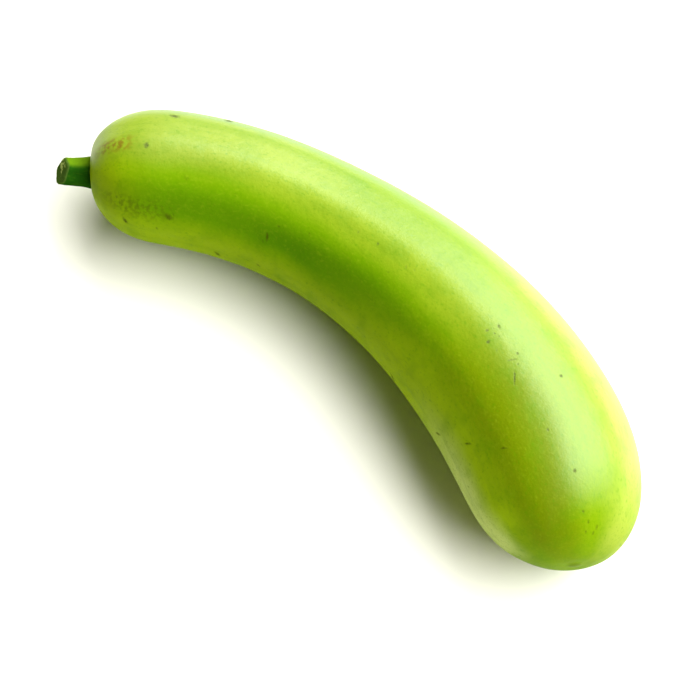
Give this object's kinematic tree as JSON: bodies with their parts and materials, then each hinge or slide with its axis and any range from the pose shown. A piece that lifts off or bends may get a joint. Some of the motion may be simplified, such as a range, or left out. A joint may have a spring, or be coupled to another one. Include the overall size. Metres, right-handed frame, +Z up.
{
  "type": "bottle gourd",
  "caption": "Long bent bottle gourd lying on its side, slim at its stem end and fuller at its blossom end, with a short cut stem; a fresh vegetable for food scenes and handling.",
  "frame": {"origin": "middle of the underside: the bottom centre of the bounding box, on the surface the gourd lies on", "axes": "+X along the chord of the bend from the stem end to the blossom end, +Y towards the back of the bend, +Z up"},
  "size_m": [0.3554, 0.1155, 0.0881],
  "materials": {
    "skin": "satin, waxy fresh lime-green rind with faint paler flecks and streaks along its length",
    "stalk": "matt, dark green ridged stalk with a pale fibrous cut end"
  },
  "bodies": {
    "root": {"fruit": "skin", "stem": "stalk"}
  },
  "joints": []
}
